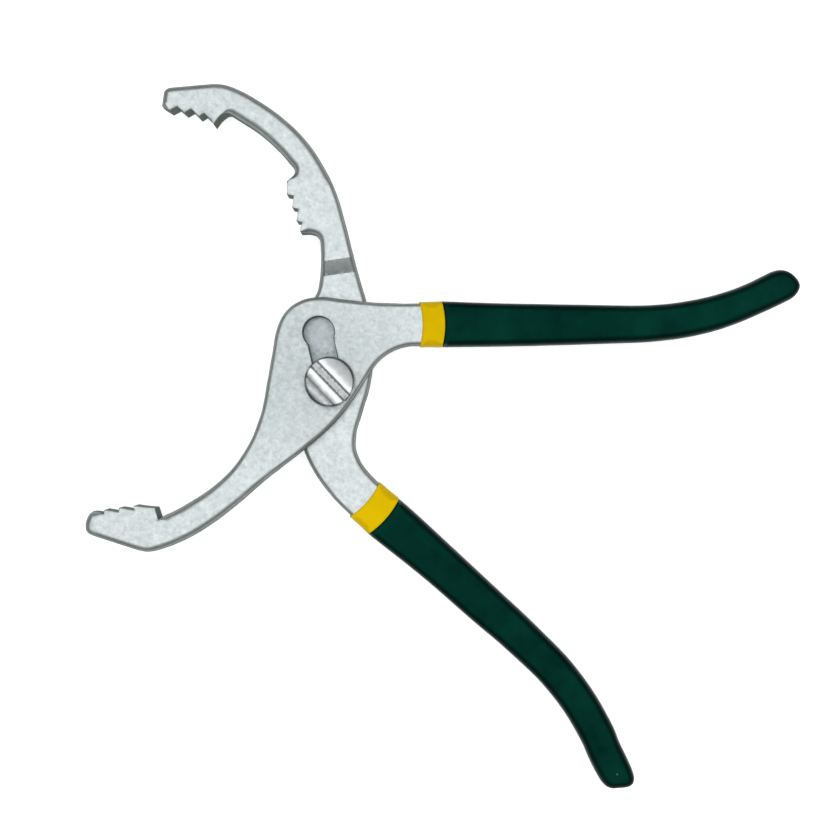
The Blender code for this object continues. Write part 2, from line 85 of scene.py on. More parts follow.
FINE_SEED, FLASH_SEED = 5.0, 9.0     # what sets the finer waves and the flash apart from the slow waves

# Forged arms
FORGED_EDGE = 1.6        # rounding left by the forging die at the hub
JAW_EDGE = 2.3           # and out on the jaws
JAW_NEAR, JAW_FAR = 32.0, 65.0   # distances from the pivot between which it grows
SAWN_EDGE = 0.12         # edges of teeth cut after forging
PUNCHED_EDGE = 0.3       # edges of the slot and the key hole
DRAFT = 0.12             # how far the side walls swell out at the parting line
FLASH = 0.07             # trimmed flash along the parting line
FLASH_PACE, FLASH_UNEVEN = 0.3, 0.8   # features per mm of its unevenness, and how much of it there is
HAMMERED = 0.035         # height of the slow waves in the flats
NEAR_EDGE = 1.0          # closer to an outline than this, the CAD's own rounding hides the level
LAP_UNDER = 2.3          # how far the bare steel runs on under the collar
SHOULDER = 0.4           # how near the sleeve's start the bar's step down to the tang lies
SLEEVE_BACK = 1.6        # from this far before the sleeve's start, to a little past the bare steel's
PAST_STEEL = 0.1         # end, the arm's level is that of the bare bar
HANDLE_HALF = 11.0       # nothing but the handle lies this close to its middle line
BARE_STEEL = 4.0         # how far back along the handle that level is read
RAY_FROM = 100.0         # height above and below the arm that its levels are read from

# Sleeves
SLEEVE_EDGE = 2.7
COLLAR_EDGE = 0.6        # the collar's rim on the bare steel
LIP_EDGE = 0.7           # the grip's rim beside the collar
BUTT_EDGE = 0.12         # the collar's rim beside the grip
COLLAR_FROM = 0.3        # where the collar starts
SEAM_SHIFT = 0.1         # collar and grip meet this far before the collar's length
SLEEVE_SWELL = 0.18
SLEEVE_WAVE = 0.05
RIM_BOW = 1.1            # how far a sleeve's rim bows along the handle
RIM_POINTS = 49
RIM_NEAR = 0.3           # an outline this close to a rim is part of it
RIM_REDRAWN = 1.2        # the outline is drawn afresh this close to a rim
WALL_NEAR, WALL_FAR = 0.05, 20.0   # the other wall of a hollow sleeve is looked for between these

# Handles: the point on the middle line where the sleeve starts, and the line's direction in degrees;
# then the collar's length
FRONT_HANDLE, FRONT_COLLAR = ((32.1, 21.0), 0.7), 8.7
REAR_HANDLE, REAR_COLLAR = ((12.0, -42.8), -41.3), 9.85

# Boxes round the sawn teeth: x, y of two corners
FRONT_TEETH = [((-84.2, -50.6), (-61.4, -43.0))]
REAR_TEETH = [((-60.2, 92.0), (-37.6, 101.6)), ((-18.6, 53.4), (-9.6, 74.6))]

# Steps in the arms' thickness: a point on the line and the line's direction in degrees
FRONT_STEPS = [((-22.9, -24.3), -51.5), ((-22.6, -24.5), -51.5), ((24.0, 20.0), 90.0), ((27.0, 20.0), 90.0)]
REAR_STEPS = [((-5.41, 38.52), 8.0), ((-6.10, 43.37), 8.0), ((18.0, -21.45), 40.0), ((19.93, -23.75), 40.0)]
STEP_REACH = 22.0

# Bolt head, measured across its driver slot, which lies a little off the middle
BOLT_R = 9.1
HEAD_POINTS = 140
HEAD_EDGE = 0.9
HEAD_STEP = 0.5          # spacing of points on the head
HEAD_GAP = 0.2           # between the washer and the head
HEAD_DEPTH = 0.6         # how far the shank runs up into the head
SLOT_TURN = -46.0
SLOT_MIDDLE = 0.5
SLOT_SHAPE = [(0.0, 1.25), (1.35, 1.15), (1.65, 0.12), (1.85, 0.0)]    # half width, depth
LAND_HALF = 3.0          # the flat lands reach this far from the slot's middle
LAND_FALL = 0.03         # and fall away past it, with the distance squared
SCRATCH = -4.95          # a scored line beside the slot
SCRATCH_HALF = 0.4
SCRATCH_DEEP = 0.2
# How bright the plating looks as lit, with painted highlights beside the slot and painted shade toward the
# rim: place across the slot, tone
HEAD_LIGHT_AND_SHADE = [(-9.1, 0.14), (-7.9, 0.18), (-6.7, 0.36), (-5.9, 0.26), (-5.0, 0.10), (-4.3, 0.13),
              (-3.5, 0.30), (-2.6, 0.48), (-1.9, 0.45), (-1.1, 0.33), (-0.4, 0.24), (0.7, 0.23),
              (1.7, 0.31), (2.5, 0.42), (3.2, 0.48), (4.0, 0.36), (4.8, 0.24), (7.0, 0.21), (9.1, 0.14)]

NUT_BREAK = 0.14         # the nut's broken edges
WASHER_BORE = 5.95       # radius

# Colours
STEEL_BRIGHT = (0.425, 0.455, 0.455)
STEEL_DARK = (0.345, 0.378, 0.382)
STEEL_EDGE_SHADE = (0.27, 0.295, 0.28)     # painted shade on the upper rounded edges
# painted shade on the walls and the lower rounded edges
STEEL_WALL_SHADE = (0.125, 0.14, 0.131)
DULL_RIM = (0.35, 0.39, 0.36)        # what the forge skin reflects at a glancing angle
NICKEL = (0.3, 0.31, 0.31)
ZINC = (0.7, 0.71, 0.71)
ZINC_WARM, ZINC_COOL = (0.45, 0.45, 0.42), (0.40, 0.43, 0.45)
YELLOW, DEEP_YELLOW, YELLOW_SHEEN = (0.68, 0.445, 0.001), (0.56, 0.365, 0.001), (1.0, 0.8, 0.02)
GREEN, DEEP_GREEN, GREEN_SHEEN = (0.0012, 0.019, 0.0118), (0.0003, 0.0055, 0.0034), (0.03, 0.8, 0.6)
DUST = (0.1, 0.14, 0.12)

# Patches of painted shade and painted highlight: middle, turn in degrees, radii, softness and darkening
# painted shade, darker toward the hub
HUB_SHADE = ((-9.0, 6.0), 0.0, (52.0, 44.0), 0.7, 0.17)
# painted shade where the rear arm's lap lies under the front arm and shows through its slot
LAP_SHADE = ((-3.4, 14.6), 103.0, (17.0, 11.0), 0.35, 0.33)
# painted highlight along the rear arm's ramp
RAMP_HIGHLIGHT = ((3.2, 42.2), 8.0, (18.0, 2.5), 0.08, -0.7)
SLOT_FILM = (14.0, 1.9)  # radii of the grime in the driver slot

# Stage, in metres
FLOOR_HALF = 4.0
LIGHT_PLACE, LIGHT_AIM = (0.03, 0.02, 1.3), (0.0326, -0.0138, 0.0)
CAMERA_PLACE = (0.03265, -0.01379, 0.5258)
CAMERA_ANGLE = 33.27     # degrees


# ---------------------------------------------------------------- outlines
def heading(turn):
    """Unit vectors ahead and to the left, for a direction in degrees."""
    ahead = np.array([math.cos(math.radians(turn)), math.sin(math.radians(turn))])
    return ahead, np.array([-ahead[1], ahead[0]])


def mid_height(node):
    low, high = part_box(node)
    return (low[2] + high[2]) / 2 / MM


def node_mesh(node):
    """A CAD node's mesh in world space, its split corners joined again."""
    work = bmesh.new()
    work.from_mesh(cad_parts[node].data)
    work.transform(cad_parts[node].matrix_world)
    bmesh.ops.remove_doubles(work, verts=work.verts, dist=JOINED * MM)
    return work


def slice_loops(node, height):
    """Closed outlines of a CAD node at one height, in mm, the longest first."""
    work = node_mesh(node)
    everything = work.verts[:] + work.edges[:] + work.faces[:]
    cut = bmesh.ops.bisect_plane(work, geom=everything, plane_co=(0, 0, height * MM), plane_no=(0, 0, 1))
    edges = [item for item in cut["geom_cut"] if isinstance(item, bmesh.types.BMEdge)]
    beside = {}
    for edge in edges:
        first, second = edge.verts
        beside.setdefault(first, []).append(second)
        beside.setdefault(second, []).append(first)
    loops, seen = [], set()
    for start in sorted(beside, key=lambda vert: tuple(vert.co)):
        if start in seen:
            continue
        loop, last, here = [start], None, start
        while True:
            ways = [vert for vert in beside[here] if vert is not last]
            last, here = here, ways[0]
            if here is start:
                break
            loop.append(here)
        seen.update(loop)
        loops.append(np.array([(vert.co.x / MM, vert.co.y / MM) for vert in loop]))
    work.free()
    loops.sort(key=lambda points: -np.linalg.norm(points - np.roll(points, 1, 0), axis=1).sum())
    return loops


def area(points):
    """An outline's area, above 0 if it runs anticlockwise."""
    after = np.roll(points, -1, 0)
    return 0.5 * float((points[:, 0] * after[:, 1] - after[:, 0] * points[:, 1]).sum())


def turns(points):
    """Angle in degrees that an outline turns through at each of its points."""
    into = points - np.roll(points, 1, 0)
    out = np.roll(points, -1, 0) - points
    across = into[:, 0] * out[:, 1] - into[:, 1] * out[:, 0]
    return np.degrees(np.arctan2(across, (into * out).sum(1)))


def corners(points):
    return np.abs(turns(points)) > CORNER_TURN


def thinned(points):
    """An outline without spikes and without points that nearly coincide."""
    while (np.abs(turns(points)) > SPIKE_TURN).any():
        points = points[np.abs(turns(points)) <= SPIKE_TURN]
    kept = [points[0]]
    for point in points[1:]:
        if np.linalg.norm(point - kept[-1]) > NEARLY:
            kept.append(point)
    if np.linalg.norm(kept[0] - kept[-1]) < NEARLY:
        kept.pop()
    return np.array(kept)


def resampled(points, outer):
    """An outline with evenly spaced points, its corners kept and its facets smoothed away."""
    if (area(points) > 0) != outer:
        points = points[::-1]
    points = thinned(points)
    sharp = corners(points)
    if sharp.any():
        shift = int(np.argmax(sharp))
        points, sharp = np.roll(points, -shift, 0), np.roll(sharp, -shift)
    closed = np.vstack([points, points[:1]])
    ends = [i for i, corner in enumerate(sharp) if corner] or [0]
    ends.append(len(points))
    dense, fixed = [], []
    for start, end in zip(ends[:-1], ends[1:]):
        run = closed[start:end + 1]
        along = np.concatenate([[0.0], np.cumsum(np.linalg.norm(np.diff(run, axis=0), axis=1))])
        count = max(2, int(round(along[-1] / OUTLINE_STEP)))
        places = np.linspace(0.0, along[-1], count + 1)[:-1]
        dense.append(np.stack([np.interp(places, along, run[:, axis]) for axis in (0, 1)], 1))
        fixed.append(np.arange(count) == 0)
    dense, fixed = np.vstack(dense), np.concatenate(fixed) & sharp.any()
    for _ in range(SMOOTHINGS):
        middle = (np.roll(dense, 1, 0) + np.roll(dense, -1, 0)) / 2
        dense = np.where(fixed[:, None], dense, (dense + middle) / 2)
    return dense


def inward(points):
    """Unit directions into the material, which lies to the left of every outline."""
    along = np.roll(points, -1, 0) - np.roll(points, 1, 0)
    along /= np.maximum(np.linalg.norm(along, axis=1, keepdims=True), TINY)
    return np.stack([-along[:, 1], along[:, 0]], 1)


def in_boxes(points, boxes):
    """Whether each point lies in one of the boxes, given by their low and high corners."""
    inside = np.zeros(len(points), bool)
    for low, high in boxes:
        inside |= ((points > low) & (points < high)).all(1)
    return inside


def eased(values, reach=3):
    """Values along a closed outline, averaged with their neighbours."""
    total = sum(np.roll(values, shift) for shift in range(-reach, reach + 1))
    return total / (2 * reach + 1)


def point_tree(points, numbers):
    """A search tree of some of the points, which answers with their numbers."""
    tree = KDTree(len(numbers))
    for number in numbers:
        tree.insert((*points[number], 0.0), int(number))
    tree.balance()
    return tree


class Border:
    """The segments of a plate's outlines, with the rounding of its edge at both their ends."""

    def __init__(self, loops, radii):
        self.starts = np.vstack(loops)
        self.ends = np.vstack([np.roll(loop, -1, 0) for loop in loops])
        self.roundings = (np.concatenate(radii), np.concatenate([np.roll(values, -1) for values in radii]))
        self.tree = point_tree(self.starts, range(len(self.starts)))
        ending = {tuple(end): i for i, end in enumerate(self.ends)}
        self.before = np.array([ending[tuple(start)] for start in self.starts])

    def nearest(self, points):
        """Distance of each point to the outlines and the rounding of the edge there."""
        close = np.array([self.tree.find((*point, 0.0))[1] for point in points])
        away = np.full(len(points), np.inf)
        radius = np.empty(len(points))
        for segment in (close, self.before[close]):
            run = self.ends[segment] - self.starts[segment]
            offset = points - self.starts[segment]
            share = np.clip((offset * run).sum(1) / np.maximum((run ** 2).sum(1), TINY), 0.0, 1.0)
            gap = np.linalg.norm(offset - share[:, None] * run, axis=1)
            better = gap < away
            away[better] = gap[better]
            rounding = self.roundings[0][segment] * (1 - share) + self.roundings[1][segment] * share
            radius[better] = rounding[better]
        return away, radius

    def holds(self, points):
        """Whether each point lies within the outlines and outside their holes."""
        starts, ends = self.starts, self.ends
        rise = np.where(ends[:, 1] == starts[:, 1], 1.0, ends[:, 1] - starts[:, 1])
        slope = (ends - starts)[:, 0] / rise
        crossings = np.zeros(len(points), int)
        for low in range(0, len(points), BATCH):
            x, y = points[low:low + BATCH, 0, None], points[low:low + BATCH, 1, None]
            passes = (starts[None, :, 1] > y) != (ends[None, :, 1] > y)
            cross = starts[None, :, 0] + (y - starts[None, :, 1]) * slope[None]
            crossings[low:low + BATCH] = (passes & (x < cross)).sum(1)
        return crossings % 2 == 1


def enclosed(faces, border):
    """The triangles of the material, found by spreading out from those left of the outlines."""
    beside = {}
    for index, face in enumerate(faces):
        for edge in zip(face, (*face[1:], face[0])):
            beside[edge] = index
    open_faces = [index for edge, index in beside.items() if edge in border]
    chosen = set(open_faces)
    while open_faces:
        face = faces[open_faces.pop()]
        for first, second in zip(face, (*face[1:], face[0])):
            other = beside.get((second, first))
            if other is None or other in chosen or (first, second) in border or (second, first) in border:
                continue
            chosen.add(other)
            open_faces.append(other)
    return [faces[index] for index in sorted(chosen)]


# ---------------------------------------------------------------- plates
def edge_rings(loops, radii, border):
    """Points inside the outlines, at each of the bends of their rounded edges."""
    bends = np.radians(BENDS)
    rings = []
    for loop, values in zip(loops, radii):
        into = inward(loop)
        for bend in bends:
            deep = values * (1 - math.cos(bend))
            keep = ~corners(loop) & ((values > NARROW_EDGE) | (bend == bends[-1]))
            rings.append(np.column_stack([loop + into * deep[:, None], deep])[keep])
    rings = np.vstack(rings)
    away, _ = border.nearest(rings[:, :2])
    return rings[(away > RING_ROOM * rings[:, 2]) & (away > TOUCHING), :2]


def flat_grid(border, step):
    """Points in staggered rows on the flats."""
    low, high = border.starts.min(0), border.starts.max(0)
    rows = []
    for row, y in enumerate(np.arange(low[1], high[1], step * math.sqrt(0.75))):
        x = np.arange(low[0] + (row % 2) * step / 2, high[0], step)
        rows.append(np.column_stack([x, np.full(len(x), y)]))
    grid = np.vstack(rows)
    away, radius = border.nearest(grid)
    return grid[border.holds(grid) & (away > radius + GRID_ROOM * step)]


def step_lines(border, steps):
    """Points along the lines where the plate's level changes."""
    lines = []
    for (x, y), turn in steps:
        ahead, _ = heading(turn)
        lines.append(np.array([x, y]) + np.arange(-STEP_REACH, STEP_REACH, OUTLINE_STEP)[:, None] * ahead)
    lines = np.vstack(lines)
    away, _ = border.nearest(lines)
    return lines[border.holds(lines) & (away > LINE_ROOM)]


def flat_mesh(loops, radii, border, steps, flat_step):
    """The plate's flat triangles: points, where each outline's points are among them, and faces."""
    rings = edge_rings(loops, radii, border)
    grid = flat_grid(border, flat_step)
    if steps:
        lines = step_lines(border, steps)
        tree = point_tree(lines, range(len(lines)))
        grid = grid[[tree.find((*point, 0.0))[2] > GRID_TO_LINE for point in grid]]
        rings = rings[[tree.find((*point, 0.0))[2] > RING_TO_LINE for point in rings]]
        grid = np.vstack([grid, lines])
    points = np.vstack([border.starts, rings, grid])
    edges, base = [], 0
    for loop in loops:
        edges += [(base + i, base + (i + 1) % len(loop)) for i in range(len(loop))]
        base += len(loop)
    made = geometry.delaunay_2d_cdt([Vector(point) for point in points], edges, [], ENCLOSED, MERGED, True)
    flat = np.array([tuple(point) for point in made[0]])
    place = {}
    for index, sources in enumerate(made[3]):
        for source in sources:
            place.setdefault(source, index)
    return flat, place, enclosed(made[2], {(place[first], place[second]) for first, second in edges})


def unevenness(point, pace, seed):
    """Smooth noise over the plate, with this many features per mm."""
    return noise.noise(Vector((point[0] * pace, point[1] * pace, seed)))


def waves(points, away, height, seed):
    """The flats' waves, which die out at the outlines."""
    if not height:
        return np.zeros(len(points))
    ripple = [height * (unevenness(point, WAVE_PACE, seed)
                        + FINE_SHARE * unevenness(point, FINE_PACE, seed + FINE_SEED)) for point in points]
    return np.array(ripple) * np.clip(away / WAVE_EASE, 0.0, 1.0)


def plate(name, loops, radii, levels, steps=(), swell=0.0, flash=0.0, wave=0.0,
          flat_step=FLAT_STEP, seed=0.0):
    """A closed body from outlines, with rounded edges and fine, even faces.

    levels(points, away) gives the lower and upper level of the flats at each point. The mesh's attribute for
    painted shade is 0 on the flats, 0.5 on the upper rounded edges, and 1 on the walls and the lower ones.
    """
    border = Border(loops, radii)
    flat, place, faces = flat_mesh(loops, radii, border, steps, flat_step)
    away, radius = border.nearest(flat)
    floor, top = levels(flat, away)
    radius = np.minimum(radius, (top - floor) / 2 * EDGE_SHARE)
    reach = np.clip(radius - away, 0.0, None)
    drop = radius - np.sqrt(np.maximum(radius ** 2 - reach ** 2, 0.0))
    ripple = waves(flat, away, wave, seed)
    upper = top - drop + ripple
    lower = floor + drop - np.roll(ripple, 1)
    count, base = len(flat), 0
    verts = [(*flat[i], upper[i]) for i in range(count)] + [(*flat[i], lower[i]) for i in range(count)]
    shape = [tuple(face) for face in faces]
    shape += [(face[2] + count, face[1] + count, face[0] + count) for face in faces]
    for loop, values in zip(loops, radii):
        out = -inward(loop)
        rim = [place[base + i] for i in range(len(loop))]
        rings = [[vert + count for vert in rim]]
        soft = np.clip((values - PUNCHED_EDGE) / SOFT_OVER, 0.0, 1.0) * ~corners(loop)
        for level in WALL_LEVELS:
            bulge = swell * (1 - abs(2 * level - 1) ** 2)
            ridge = flash if level == PARTING else 0.0
            ring = []
            for i, vert in enumerate(rim):
                uneven = 1.0 + FLASH_UNEVEN * unevenness(loop[i], FLASH_PACE, seed + FLASH_SEED)
                shift = (bulge + ridge * uneven) * soft[i]
                height = lower[vert] + (upper[vert] - lower[vert]) * level
                ring.append(len(verts))
                verts.append((*(flat[vert] + out[i] * shift), height))
            rings.append(ring)
        rings.append(rim)
        for under, over in zip(rings[:-1], rings[1:]):
            for i in range(len(loop)):
                after = (i + 1) % len(loop)
                shape.append((under[i], under[after], over[after], over[i]))
        base += len(loop)
    mesh = bpy.data.meshes.new(name)
    mesh.from_pydata([tuple(c * MM for c in vert) for vert in verts], [], shape)
    # mask for painted shade: 0 on the flats, 0.5 on the upper rounded edges, 1 on the walls and lower rounded
    # edges
    edge_shade = np.ones(len(verts))
    edge_shade[:count] = np.clip((SHADE_SHARE * radius - away) / SHADE_FADE + 0.5, 0.0, 1.0) / 2
    edge_shade[count:2 * count] = 2 * edge_shade[:count]
    mesh.attributes.new("edge_shade", "FLOAT", "POINT").data.foreach_set("value", edge_shade)
    work = bmesh.new()
    work.from_mesh(mesh)
    loose = [vert for vert in work.verts if not vert.link_faces]
    bmesh.ops.delete(work, geom=loose, context="VERTS")
    work.to_mesh(mesh)
    work.free()
    return place_object(name, mesh)


def place_object(name, mesh):
    item = bpy.data.objects.new(name, mesh)
    bpy.context.scene.collection.objects.link(item)
    return item


def shade(item, material, angle=38.0):
    """Gives an object its material and smooth shading, with creases past an angle in degrees."""
    item.data.materials.clear()
    item.data.materials.append(material)
    item.data.shade_smooth()
    item.data.set_sharp_from_angle(angle=math.radians(angle))


def apply_modifiers(item):
    """Makes what an object's modifiers show its own mesh."""
    bpy.context.view_layer.update()
    shape = item.evaluated_get(bpy.context.evaluated_depsgraph_get())
    mesh = bpy.data.meshes.new_from_object(shape)
    item.modifiers.clear()
    item.data = mesh


def combine(item, other, operation, keep=False):
    """Joins or cuts a closed body with another, which goes unless it is kept."""
    change = item.modifiers.new("Boolean", "BOOLEAN")
    change.operation = operation
    change.solver = "MANIFOLD"
    change.object = other
    apply_modifiers(item)
    if not keep:
        bpy.data.objects.remove(other, do_unlink=True)


# ---------------------------------------------------------------- arms
def handle_place(points, handle):
    """Distances along and across a handle, measured from the start of its sleeve, and its direction."""
    start, turn = handle
    ahead, side = heading(turn)
    offset = points - np.array(start)
    return offset @ ahead, offset @ side, ahead


def arm(name, node, height, handle, teeth, steps, material, seed):
    """A forged arm: the CAD's outline at mid handle, with die-rounded edges and sawn teeth."""
    loops, radii = [], []
    for index, points in enumerate(slice_loops(node, height)):
        along, across, ahead = handle_place(points, handle)
        beside = np.abs(across) < HANDLE_HALF
        shoulder = (np.abs(along) < SHOULDER) & beside
        passed = (along >= SHOULDER) & (along < LAP_UNDER + SHOULDER) & beside
        points = (points + np.where(shoulder, LAP_UNDER, 0.0)[:, None] * ahead)[~passed]
        loop = resampled(points, index == 0)
        if index == 0:
            away = np.linalg.norm(loop, axis=1) * (loop[:, 0] < 0)
            values = np.interp(away, [JAW_NEAR, JAW_FAR], [FORGED_EDGE, JAW_EDGE])
            values[in_boxes(loop, teeth)] = SAWN_EDGE
            values = np.maximum(eased(values), SAWN_EDGE)
        else:
            values = np.full(len(loop), PUNCHED_EDGE)
        loops.append(loop)
        radii.append(values)
    work = node_mesh(node)
    tree = BVHTree.FromBMesh(work)
    work.free()

    def cast(points, side):
        found = np.empty(len(points))
        for i, (x, y) in enumerate(points):
            hit = tree.ray_cast(Vector((x * MM, y * MM, side * RAY_FROM * MM)), Vector((0.0, 0.0, -side)))[0]
            found[i] = hit.z / MM if hit else np.nan
        return found

    def levels(points, away):
        along, across, ahead = handle_place(points, handle)
        covered = (along > -SLEEVE_BACK) & (along < LAP_UNDER + PAST_STEEL) & (np.abs(across) < HANDLE_HALF)
        moved = points - np.where(covered, BARE_STEEL, 0.0)[:, None] * ahead
        result = []
        for side in (-1.0, 1.0):
            found = cast(moved, side)
            sure = (away > NEAR_EDGE) & ~np.isnan(found)
            near = point_tree(points, np.flatnonzero(sure))
            for i in np.flatnonzero(~sure):
                found[i] = found[near.find((*points[i], 0.0))[1]]
            result.append(found)
        return result

    item = plate(name, loops, radii, levels, steps, DRAFT, FLASH, HAMMERED, seed=seed)
    shade(item, material)
    return item


# ---------------------------------------------------------------- sleeves
def outer_outline(loops):
    """The outside of a hollow sleeve from its sliced walls: what faces another wall is inside."""
    loops = [loop if area(loop) > 0 else loop[::-1] for loop in map(thinned, loops)]
    starts = np.vstack(loops)
    runs = np.vstack([np.roll(loop, -1, 0) - loop for loop in loops])
    kept = []
    for loop in loops:
        run = np.roll(loop, -1, 0) - loop
        middle = loop + run / 2
        out = np.stack([run[:, 1], -run[:, 0]], 1) / np.linalg.norm(run, axis=1, keepdims=True)
        offset = starts[None] - middle[:, None]
        cross = out[:, None, 0] * runs[None, :, 1] - out[:, None, 1] * runs[None, :, 0]
        cross = np.where(np.abs(cross) < TINY, TINY, cross)
        ahead = (offset[..., 0] * runs[None, :, 1] - offset[..., 1] * runs[None, :, 0]) / cross
        share = (offset[..., 0] * out[:, None, 1] - offset[..., 1] * out[:, None, 0]) / cross
        hidden = ((ahead > WALL_NEAR) & (ahead < WALL_FAR) & (share > 0.0) & (share < 1.0)).any(1)
        spans = []
        for first in np.flatnonzero(~hidden & np.roll(hidden, 1)):
            order = np.roll(np.arange(len(loop)), -first)
            count = int(np.argmax(hidden[order]))
            length = np.linalg.norm(run[order[:count]], axis=1).sum()
            spans.append((length, loop[order[:count + 1]]))
        kept.append(max(spans, key=lambda span: span[0])[1])
    return np.vstack(kept)


def rimmed(points, handle, edge, way):
    """A sleeve's outline with one open rim drawn afresh, bowed along the handle, and that rim.

    edge is where the rim is along the handle, and way is 1 if the sleeve lies past it, or -1.
    """
    start, turn = handle
    ahead, side = heading(turn)
    along, across, _ = handle_place(points, handle)
    gone = (along - edge) * way < RIM_REDRAWN
    first = int(np.flatnonzero(~gone & np.roll(gone, 1))[0])
    points, across, gone = (np.roll(values, -first, 0) for values in (points, across, gone))
    points, across = points[~gone], across[~gone]
    share = np.linspace(1.0, -1.0, RIM_POINTS)
    middle, half = (across[-1] + across[0]) / 2, (across[-1] - across[0]) / 2
    rim = (np.array(start) + (edge + RIM_BOW * (1 - share ** 2))[:, None] * ahead
           + (middle + half * share)[:, None] * side)
    return np.vstack([points, rim]), rim


def sleeve(name, node, steel, handle, ends, material, seed):
    """A dipped vinyl sleeve round the handle, shrunk onto the steel inside it.

    ends gives, for each of the sleeve's open rims, where it is along the handle, which way the
    sleeve lies from it and its edge rounding.
    """
    low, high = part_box(node)
    outline, rims = outer_outline(slice_loops(node, mid_height(node))), []
    if area(outline) < 0:
        outline = outline[::-1]
    for edge, way, rounding in ends:
        outline, rim = rimmed(outline, handle, edge, way)
        rims.append((rim, rounding))
    loop = resampled(outline, True)
    values = np.full(len(loop), SLEEVE_EDGE)
    for rim, rounding in rims:
        gaps = np.linalg.norm(loop[:, None] - rim[None], axis=2).min(1)
        values[gaps < RIM_NEAR] = rounding
    values = eased(values, 2)

    def levels(points, away):
        return np.full(len(points), low[2] / MM), np.full(len(points), high[2] / MM)

    item = plate(name, [loop], [values], levels, (), SLEEVE_SWELL, 0.0, SLEEVE_WAVE, seed=seed)
    combine(item, steel, "DIFFERENCE", keep=True)
    shade(item, material, 50.0)
    return item


# ---------------------------------------------------------------- bolt, nut and washer
def circle(radius, count):
    angles = np.arange(count) * 2 * math.pi / count
    return np.column_stack([np.cos(angles), np.sin(angles)]) * radius


def lathe(name, profile, count=96):
    """A closed profile of (radius, height) turned about the pivot axis."""
    verts, faces = [], []
    for radius, height in profile:
        for x, y in circle(radius, count):
            verts.append((x * MM, y * MM, height * MM))
    for row in range(len(profile)):
        after = (row + 1) % len(profile)
        for i in range(count):
            j = (i + 1) % count
            faces.append((row * count + i, row * count + j, after * count + j, after * count + i))
    mesh = bpy.data.meshes.new(name)
    mesh.from_pydata(verts, [], faces)
    work = bmesh.new()
    work.from_mesh(mesh)
    bmesh.ops.recalc_face_normals(work, faces=work.faces)
    work.to_mesh(mesh)
    work.free()
    return place_object(name, mesh)


def bolt(material):
    """Slotted head with flat lands beside the slot, flatted shank and a threaded end."""
    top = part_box("pivot_bolt")[1][2] / MM
    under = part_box("slide_washer")[1][2] / MM + HEAD_GAP
    _, side = heading(SLOT_TURN)
    walls = [half for half, deep in SLOT_SHAPE[1:]]
    offsets = [SLOT_MIDDLE - half for half in reversed(walls)] + [SLOT_MIDDLE + half for half in walls]
    offsets += [SCRATCH - SCRATCH_HALF, SCRATCH, SCRATCH + SCRATCH_HALF]
    lines = [(tuple(side * offset), SLOT_TURN) for offset in offsets]

    def levels(points, away):
        across = points @ side
        wide = np.abs(across - SLOT_MIDDLE)
        land = np.full(len(points), top)
        land -= LAND_FALL * np.clip(wide - LAND_HALF, 0.0, None) ** 2
        land -= SCRATCH_DEEP * np.clip(1.0 - np.abs(across - SCRATCH) / SCRATCH_HALF, 0.0, 1.0)
        return np.full(len(points), under), land - np.interp(wide, *zip(*SLOT_SHAPE))

    rounding = np.full(HEAD_POINTS, HEAD_EDGE)
    head = plate("bolt_head", [circle(BOLT_R, HEAD_POINTS)], [rounding], levels, lines, flat_step=HEAD_STEP)
    shank = place_object("shank", bpy.data.meshes.new("shank"))
    work = node_mesh("pivot_bolt")
    bmesh.ops.bisect_plane(work, geom=work.verts[:] + work.edges[:] + work.faces[:],
                           plane_co=(0, 0, (under + HEAD_DEPTH) * MM), plane_no=(0, 0, 1), clear_outer=True)
    bmesh.ops.holes_fill(work, edges=[edge for edge in work.edges if edge.is_boundary])
    work.to_mesh(shank.data)
    work.free()
    combine(head, shank, "UNION")
    shade(head, material, 30.0)
    return head


def nut(material):
    """The hexagon nut, its corners chamfered and its edges broken."""
    item = place_object("nut", bpy.data.meshes.new("nut"))
    work = node_mesh("pivot_nut")
    bmesh.ops.dissolve_limit(work, angle_limit=math.radians(1.0), verts=work.verts, edges=work.edges)
    work.to_mesh(item.data)
    work.free()
    bevel = item.modifiers.new("Bevel", "BEVEL")
    bevel.width = NUT_BREAK * MM
    bevel.segments = 2
    bevel.angle_limit = math.radians(25.0)
    apply_modifiers(item)
    shade(item, material, 30.0)
    return item


def washer(material):
    """The slide washer with stamped, rounded edges."""
    low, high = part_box("slide_washer")
    outer = high[0] / MM
    floor, top = low[2] / MM, high[2] / MM
    bore = WASHER_BORE
    profile = [(bore, floor + 0.08), (bore + 0.08, floor), (outer - 0.2, floor), (outer - 0.06, floor + 0.06),
               (outer, floor + 0.2), (outer, top - 0.25), (outer - 0.07, top - 0.08), (outer - 0.25, top),
               (bore + 0.12, top), (bore, top - 0.12)]
    item = lathe("washer", profile)
    shade(item, material, 35.0)
    return item


# ---------------------------------------------------------------- materials
def new_material(name, colour, roughness, metallic):
    material = bpy.data.materials.new(name)
    material.use_nodes = True
    shader = material.node_tree.nodes["Principled BSDF"]
    shader.inputs["Base Color"].default_value = (*colour, 1.0)
    shader.inputs["Roughness"].default_value = roughness
    shader.inputs["Metallic"].default_value = metallic
    return material, shader


def noise_field(tree, scale, detail, roughness=0.5, stretch=None):
    """Noise that sticks to the object, with features about 1/scale metres apart.

    stretch turns it by an angle in degrees, and then draws it out by the scale along each axis.
    """
    source = tree.nodes.new("ShaderNodeTexCoord").outputs["Object"]
    if stretch:
        turned = tree.nodes.new("ShaderNodeMapping")
        turned.inputs["Rotation"].default_value = (0.0, 0.0, math.radians(stretch[0]))
        turned.inputs["Scale"].default_value = stretch[1]
        tree.links.new(source, turned.inputs["Vector"])
        source = turned.outputs["Vector"]
    field = tree.nodes.new("ShaderNodeTexNoise")
    field.inputs["Scale"].default_value = scale
    field.inputs["Detail"].default_value = detail
    field.inputs["Roughness"].default_value = roughness
    tree.links.new(source, field.inputs["Vector"])
    return field.outputs["Fac"]


